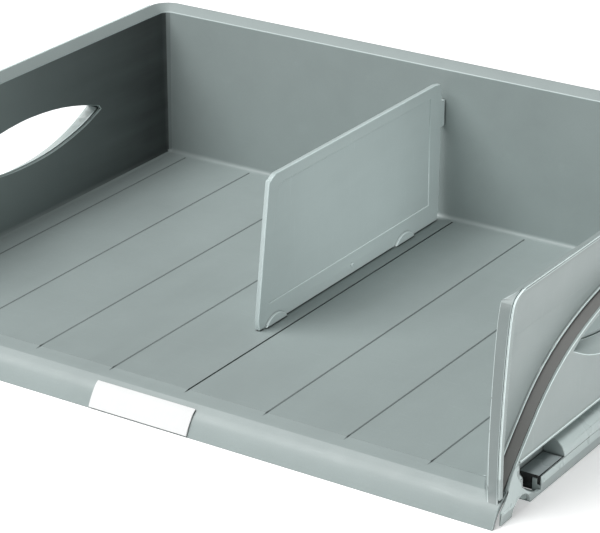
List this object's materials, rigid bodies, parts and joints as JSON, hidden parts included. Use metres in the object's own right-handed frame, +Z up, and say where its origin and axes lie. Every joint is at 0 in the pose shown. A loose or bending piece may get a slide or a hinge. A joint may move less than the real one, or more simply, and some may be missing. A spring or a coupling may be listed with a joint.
{
  "type": "letter tray",
  "caption": "Wide stacking letter tray with a lift-out divider, arched hand holes in double-skinned sides, stacking clips on the side rails and a label on the rounded front lip.",
  "frame": {"origin": "middle of the tray's base box, on the surface it stands on", "axes": "+X to the tray's right seen from the front, +Y towards its back wall, +Z up"},
  "size_m": [0.468, 0.339, 0.1245],
  "materials": {
    "tray_plastic": "satin, fine spark-eroded grain",
    "panel_plastic": "satin, fine spark-eroded grain",
    "divider_plastic": "satin",
    "dark_band": "matte, dark grey",
    "dark_clip": "satin, near black",
    "label": "smooth white card"
  },
  "bodies": {
    "tray": {"tray_body": "tray_plastic", "side_panel_right": "panel_plastic", "side_panel_left": "panel_plastic", "grip_band_right": "dark_band", "grip_band_left": "dark_band", "stacking_clip_front_right": "dark_clip", "stacking_clip_front_left": "dark_clip", "stacking_clip_rear_right": "dark_clip", "stacking_clip_rear_left": "dark_clip"},
    "divider": {"divider": "divider_plastic"},
    "label": {"label_card": "label"}
  },
  "joints": [
    {"name": "divider_lift", "type": "slide", "parent": "tray", "child": "divider", "axis": [0, 0, 1], "range_m": [0, 0.12]},
    {"name": "label_pull", "type": "slide", "parent": "tray", "child": "label", "axis": [0, -0.8, 0.6], "range_m": [0, 0.02]}
  ]
}
